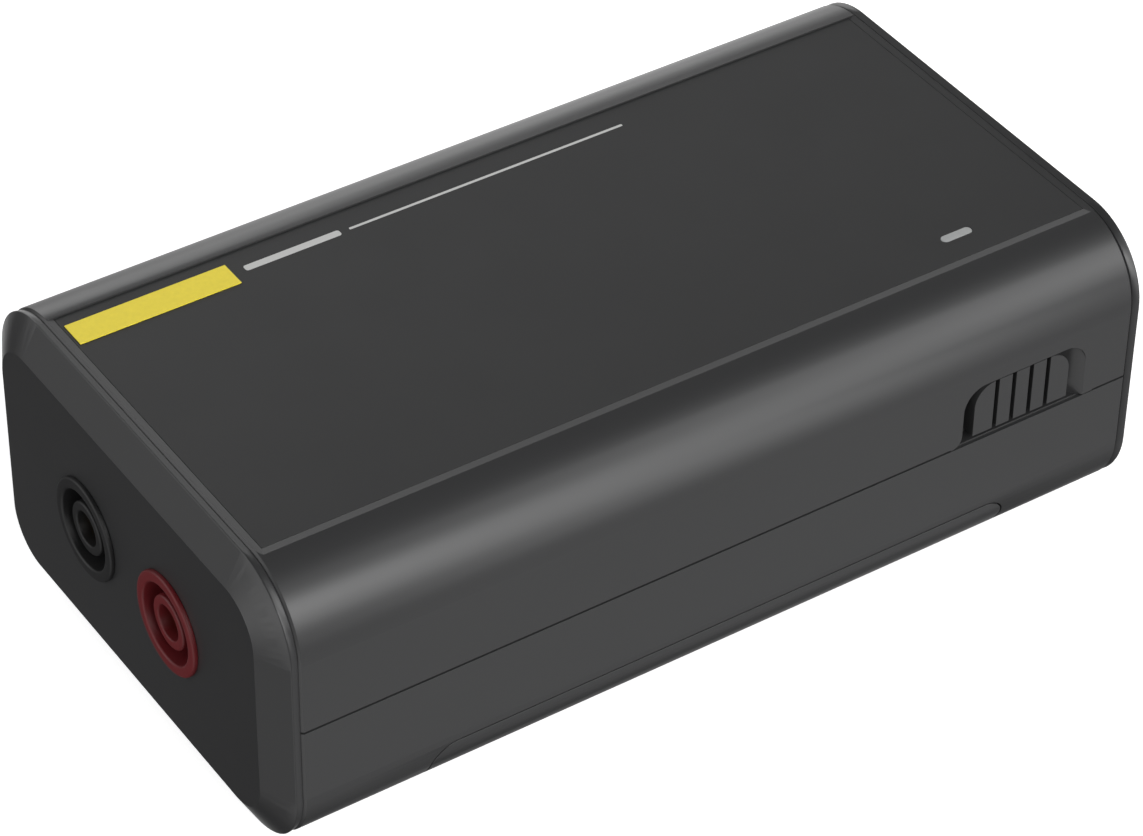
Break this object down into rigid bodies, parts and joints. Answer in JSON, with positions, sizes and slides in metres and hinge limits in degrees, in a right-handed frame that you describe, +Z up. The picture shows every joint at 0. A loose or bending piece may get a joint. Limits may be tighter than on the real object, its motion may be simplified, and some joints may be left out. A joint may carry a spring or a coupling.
{
  "type": "differential oscilloscope probe",
  "caption": "Box-shaped differential probe with rounded long edges: shrouded input sockets in one end, output jack in the other, ribbed side slider, battery door below.",
  "frame": {"origin": "centre of the overall footprint, on the plane the rubber feet stand on", "axes": "+X from the input end to the output end, +Z up, the slide switch is on the -Y side"},
  "size_m": [0.1282, 0.064, 0.0393],
  "materials": {
    "case_plastic": "fine satin mould texture, charcoal grey",
    "cap_plastic": "fine satin mould texture, charcoal grey, a touch darker than the shells",
    "label_film": "matte dark grey polycarbonate overlay",
    "badge_film": "plain yellow printed film, no lettering",
    "light_pipe": "milky translucent plastic",
    "socket_red": "dark red moulded plastic",
    "socket_black": "black moulded plastic",
    "contact_brass": "gold-flashed turned brass",
    "nickel": "nickel-plated turned brass",
    "zinc_steel": "zinc-plated steel",
    "spring_steel": "nickel-plated spring steel strip",
    "tinned_steel": "tinned steel sheet",
    "foot_rubber": "matte black rubber",
    "wire_red": "red silicone insulation",
    "wire_black": "black silicone insulation",
    "board": "green solder mask on glass epoxy",
    "resistor": "blue lacquered resistor body",
    "trimmer": "ochre ceramic and plastic",
    "chip_black": "black moulding compound",
    "ferrite": "dark grey ferrite",
    "capacitor_can": "aluminium can with a dark sleeve mark",
    "led_body": "white body with a clear dome",
    "actuator_plastic": "natural nylon",
    "cell_wrap": "plain dark green wrap with a copper-coloured end",
    "insulator": "white PTFE"
  },
  "bodies": {
    "case": {"top_shell": "case_plastic", "bottom_shell": "case_plastic", "front_end_cap": "cap_plastic", "rear_end_cap": "cap_plastic", "top_label": "label_film", "name_badge": "badge_film", "light_pipe": "light_pipe", "case_screws": "zinc_steel", "rubber_feet": "foot_rubber", "input_socket_red": "socket_red", "input_socket_black": "socket_black", "input_contact_sleeves": "contact_brass", "input_socket_nuts": "nickel", "input_wire_red": "wire_red", "input_wire_black": "wire_black", "main_board": "board", "divider_resistors": "resistor", "trimmer_capacitors": "trimmer", "shield_can": "tinned_steel", "amplifier_chips": "chip_black", "smoothing_capacitors": "capacitor_can", "power_inductor": "ferrite", "indicator_led": "led_body", "switch_housing": "tinned_steel", "board_screws": "zinc_steel", "battery_cells": "cell_wrap", "battery_leaf_springs": "spring_steel", "battery_contact_plates": "spring_steel", "output_jack_body": "nickel", "output_jack_insulator": "insulator", "output_jack_contact": "contact_brass", "output_jack_nut": "nickel", "output_jack_washer": "nickel", "power_inlet": "tinned_steel"},
    "door": {"battery_door": "case_plastic", "door_screws": "zinc_steel"},
    "slider": {"switch_knob": "case_plastic", "switch_actuator": "actuator_plastic"}
  },
  "joints": [
    {"name": "door_lift_off", "type": "slide", "parent": "case", "child": "door", "axis": [0, 0, -1], "range_m": [0, 0.03]},
    {"name": "switch_slide", "type": "slide", "parent": "case", "child": "slider", "axis": [-1, 0, 0], "range_m": [0, 0.0014]}
  ]
}
